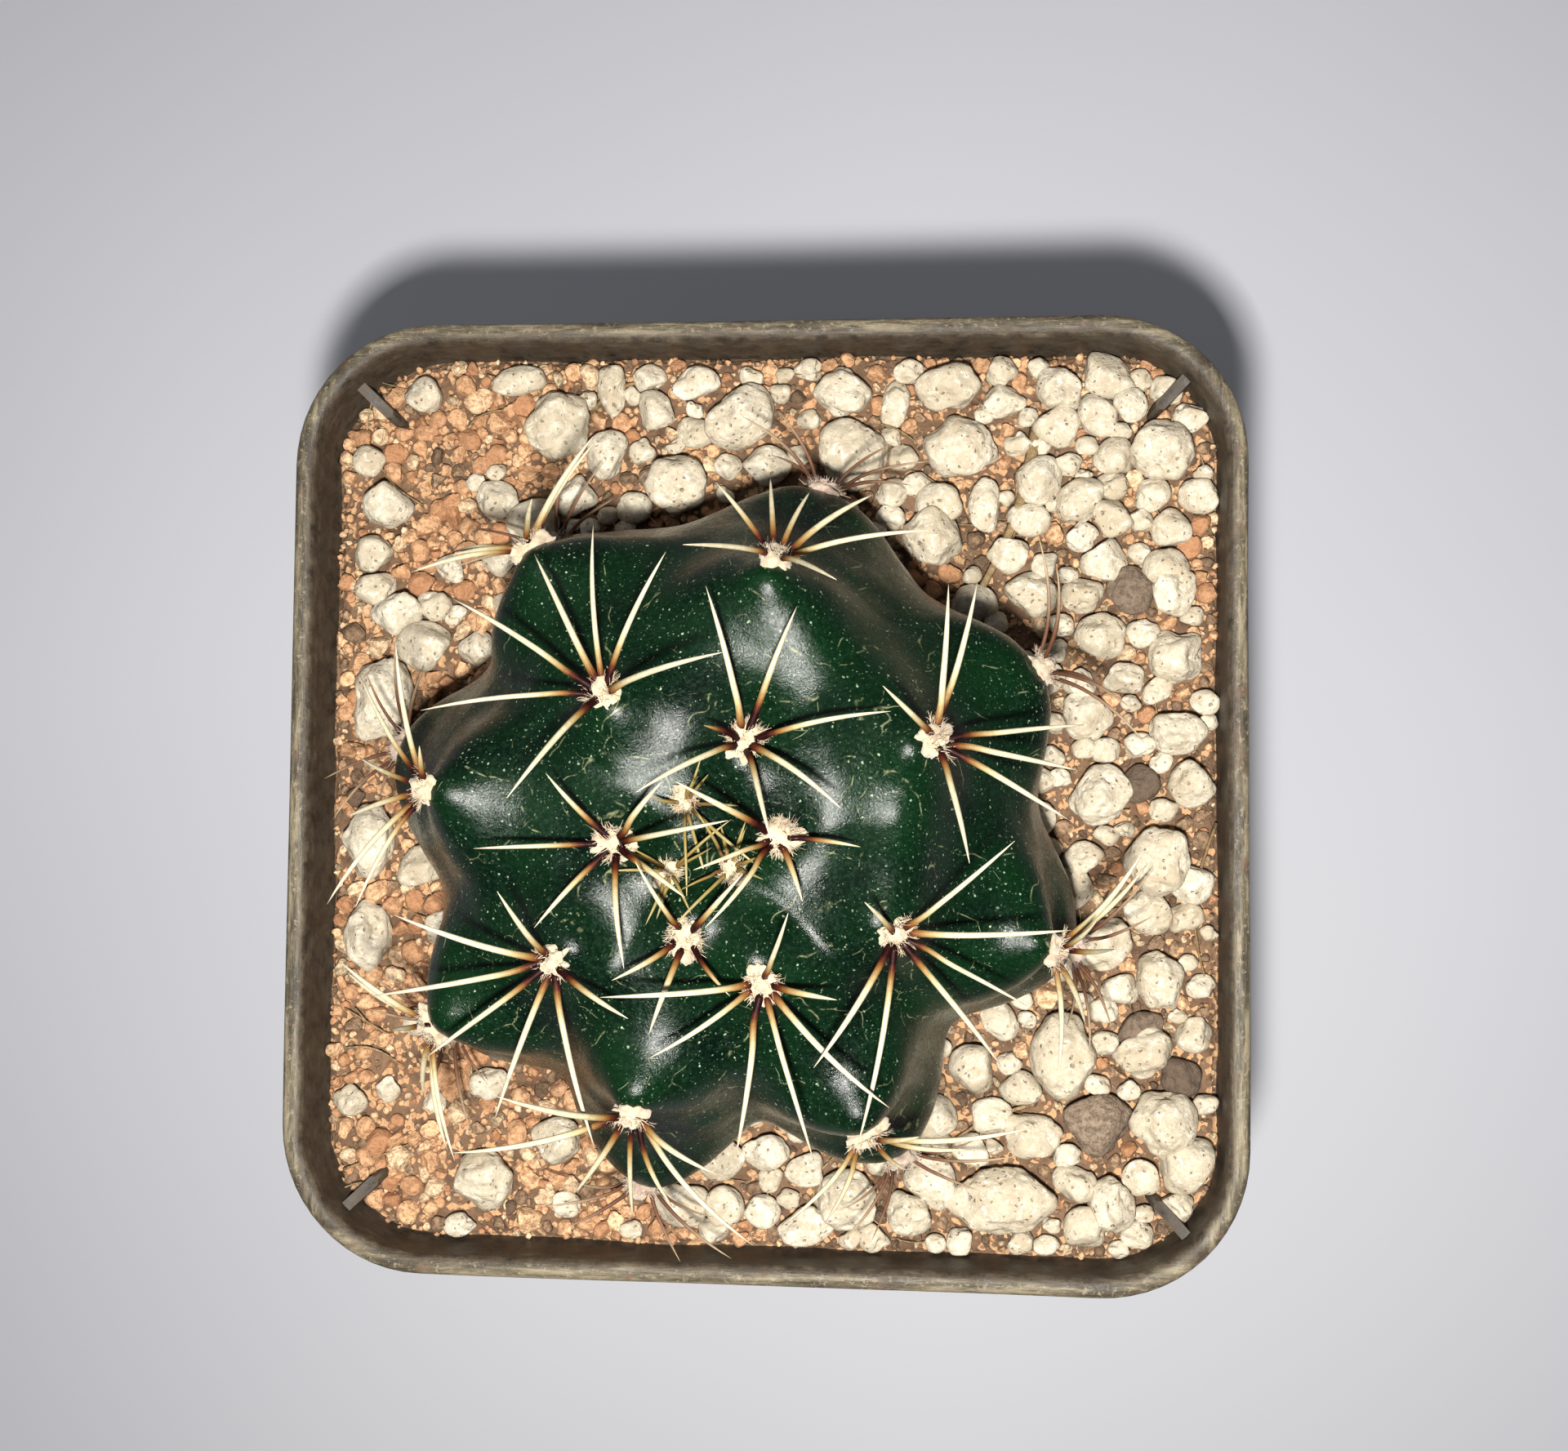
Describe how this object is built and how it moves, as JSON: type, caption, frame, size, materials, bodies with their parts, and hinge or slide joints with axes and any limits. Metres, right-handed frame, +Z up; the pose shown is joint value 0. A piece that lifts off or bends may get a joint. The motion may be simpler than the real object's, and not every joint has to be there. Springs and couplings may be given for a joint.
{
  "type": "potted round cactus",
  "caption": "Small round ribbed cactus with starry spine clusters, in a square tapered nursery pot of gritty growing mix dressed with pumice stones.",
  "frame": {"origin": "middle of the pot's footprint, on the surface that the pot stands on", "axes": "+Z up; the pot's four sides face +X, -X, +Y and -Y; +Y is the back, which is the top of the reference view"},
  "size_m": [0.07, 0.07, 0.0942],
  "materials": {
    "pot_plastic": "worn dark olive-brown moulded plastic with faint streaks",
    "growing_mix": "loose orange-brown baked-clay grit over dark humus",
    "cactus_skin": "waxy dark green plant skin with fine pale specks, semi-gloss",
    "spine": "ivory spines, dark red-brown at the base, with cream wool",
    "pumice": "pale cream pumice with small dark pits, matt"
  },
  "bodies": {
    "root": {"cactus_body": "cactus_skin", "crown_spines_1": "spine", "crown_spines_2": "spine", "crown_spines_3": "spine", "growing_mix": "growing_mix", "pot": "pot_plastic", "pumice_01": "pumice", "pumice_02": "pumice", "pumice_03": "pumice", "pumice_04": "pumice", "pumice_05": "pumice", "pumice_06": "pumice", "pumice_07": "pumice", "pumice_08": "pumice", "pumice_09": "pumice", "pumice_10": "pumice", "pumice_11": "pumice", "pumice_12": "pumice", "pumice_13": "pumice", "pumice_14": "pumice", "pumice_15": "pumice", "pumice_16": "pumice", "pumice_17": "pumice", "pumice_18": "pumice", "pumice_19": "pumice", "pumice_20": "pumice", "pumice_21": "pumice", "pumice_22": "pumice", "pumice_23": "pumice", "pumice_24": "pumice", "pumice_25": "pumice", "pumice_26": "pumice", "pumice_27": "pumice", "pumice_28": "pumice", "pumice_29": "pumice", "rib1_spines_1": "spine", "rib1_spines_2": "spine", "rib1_spines_3": "spine", "rib2_spines_1": "spine", "rib2_spines_2": "spine", "rib2_spines_3": "spine", "rib3_spines_1": "spine", "rib3_spines_2": "spine", "rib3_spines_3": "spine", "rib4_spines_1": "spine", "rib4_spines_2": "spine", "rib4_spines_3": "spine", "rib5_spines_1": "spine", "rib5_spines_2": "spine", "rib5_spines_3": "spine", "rib6_spines_1": "spine", "rib6_spines_2": "spine", "rib6_spines_3": "spine", "rib7_spines_1": "spine", "rib7_spines_2": "spine", "rib7_spines_3": "spine", "rib8_spines_1": "spine", "rib8_spines_2": "spine", "rib8_spines_3": "spine"}
  },
  "joints": []
}
